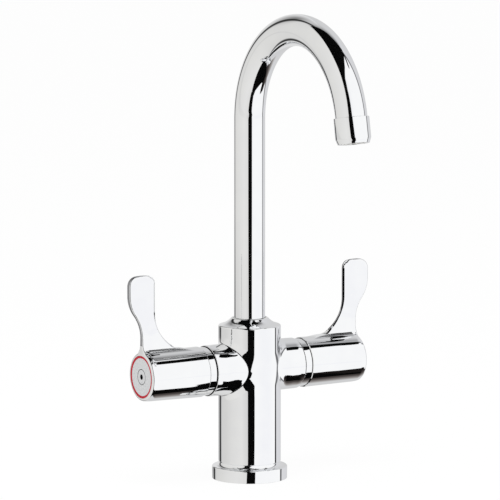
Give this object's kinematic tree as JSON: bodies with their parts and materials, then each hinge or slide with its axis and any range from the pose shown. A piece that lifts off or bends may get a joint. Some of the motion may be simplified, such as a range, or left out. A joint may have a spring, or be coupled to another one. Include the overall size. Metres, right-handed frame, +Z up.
{
  "type": "deck-mounted gooseneck mixer tap",
  "caption": "Deck-mounted mixer tap: round column on a flange, upright lever handles on side arms, tall swivelling gooseneck spout with aerator, threaded shank and lock nut below.",
  "frame": {"origin": "centre of the base flange's underside, where it stands on the deck and on the shank's axis", "axes": "+Z up out of the deck, spout reaching towards -Y, levers along X with the hot one at -X"},
  "size_m": [0.1978, 0.1743, 0.3967],
  "materials": {
    "chrome_plate": "mirror chrome plate",
    "brass": "machined brass",
    "steel": "machined stainless steel",
    "black_rubber": "moulded rubber",
    "ceramic": "lapped ceramic",
    "white_plastic": "moulded acetal",
    "red_plastic": "moulded, glossy",
    "blue_plastic": "moulded, glossy",
    "grey_plastic": "moulded, satin"
  },
  "bodies": {
    "body": {"body_casting": "chrome_plate", "base_flange": "chrome_plate", "base_seal": "black_rubber", "mounting_shank": "brass", "clamp_gasket": "black_rubber", "clamp_washer": "steel", "lock_nut": "brass", "spout_grub_screw": "steel", "spout_glide_ring": "white_plastic", "spout_thrust_washer": "white_plastic", "hot_trim_ring": "chrome_plate", "hot_cartridge_housing": "brass", "hot_housing_o_ring": "black_rubber", "hot_seat_seal": "black_rubber", "hot_fixed_disc": "ceramic", "cold_trim_ring": "chrome_plate", "cold_cartridge_housing": "brass", "cold_housing_o_ring": "black_rubber", "cold_seat_seal": "black_rubber", "cold_fixed_disc": "ceramic"},
    "spout": {"spout_tube": "chrome_plate", "spout_bush": "brass", "spout_o_rings": "black_rubber", "aerator_sleeve": "chrome_plate", "aerator_washer": "black_rubber", "aerator_insert": "white_plastic", "aerator_mesh": "steel"},
    "hot_lever": {"hot_lever_handle": "chrome_plate", "hot_index_ring": "red_plastic", "hot_index_cap": "grey_plastic", "hot_handle_screw": "steel", "hot_spindle": "brass", "hot_spindle_o_rings": "black_rubber", "hot_spindle_clip": "steel", "hot_moving_disc": "ceramic"},
    "cold_lever": {"cold_lever_handle": "chrome_plate", "cold_index_ring": "blue_plastic", "cold_index_cap": "grey_plastic", "cold_handle_screw": "steel", "cold_spindle": "brass", "cold_spindle_o_rings": "black_rubber", "cold_spindle_clip": "steel", "cold_moving_disc": "ceramic"}
  },
  "joints": [
    {"name": "hot_lever_turn", "type": "hinge", "parent": "body", "child": "hot_lever", "pos_m": [0, 0, 0.0796], "axis": [1, 0, 0], "range_deg": [0, 90]},
    {"name": "cold_lever_turn", "type": "hinge", "parent": "body", "child": "cold_lever", "pos_m": [0, 0, 0.0796], "axis": [1, 0, 0], "range_deg": [0, 90]},
    {"name": "spout_swivel", "type": "hinge", "parent": "body", "child": "spout", "pos_m": [0, 0, 0.1], "axis": [0, 0, 1], "continuous": true}
  ]
}
